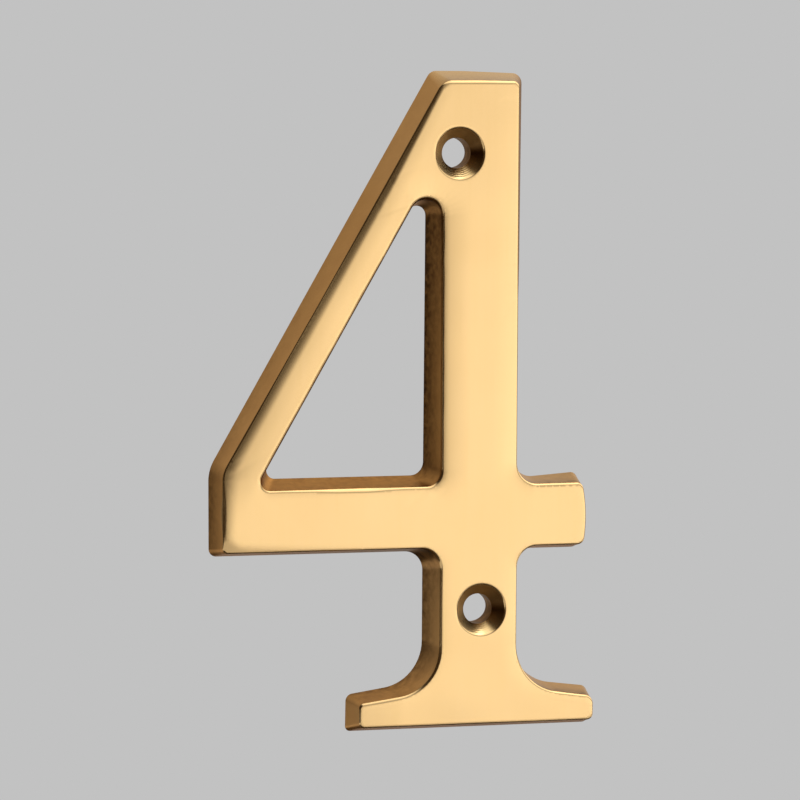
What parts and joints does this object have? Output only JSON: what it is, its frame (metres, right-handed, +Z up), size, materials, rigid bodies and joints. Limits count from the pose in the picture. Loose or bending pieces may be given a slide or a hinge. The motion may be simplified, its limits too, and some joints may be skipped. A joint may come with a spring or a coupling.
{
  "type": "door number",
  "caption": "Cast brass figure four with drafted sides, an open counter and countersunk screw holes, fixed flat on a door or wall to show its number.",
  "frame": {"origin": "on the flat back, where the centre lines of the stem and the crossbar cross", "axes": "+Z up the stem, +X to the reader's right, +Y into the door, so the face looks along -Y"},
  "size_m": [0.0465, 0.004, 0.0762],
  "materials": {
    "polished_brass": "sand-cast brass with a buffed, lacquered face and satin walls"
  },
  "bodies": {
    "root": {"numeral_four": "polished_brass"}
  },
  "joints": []
}
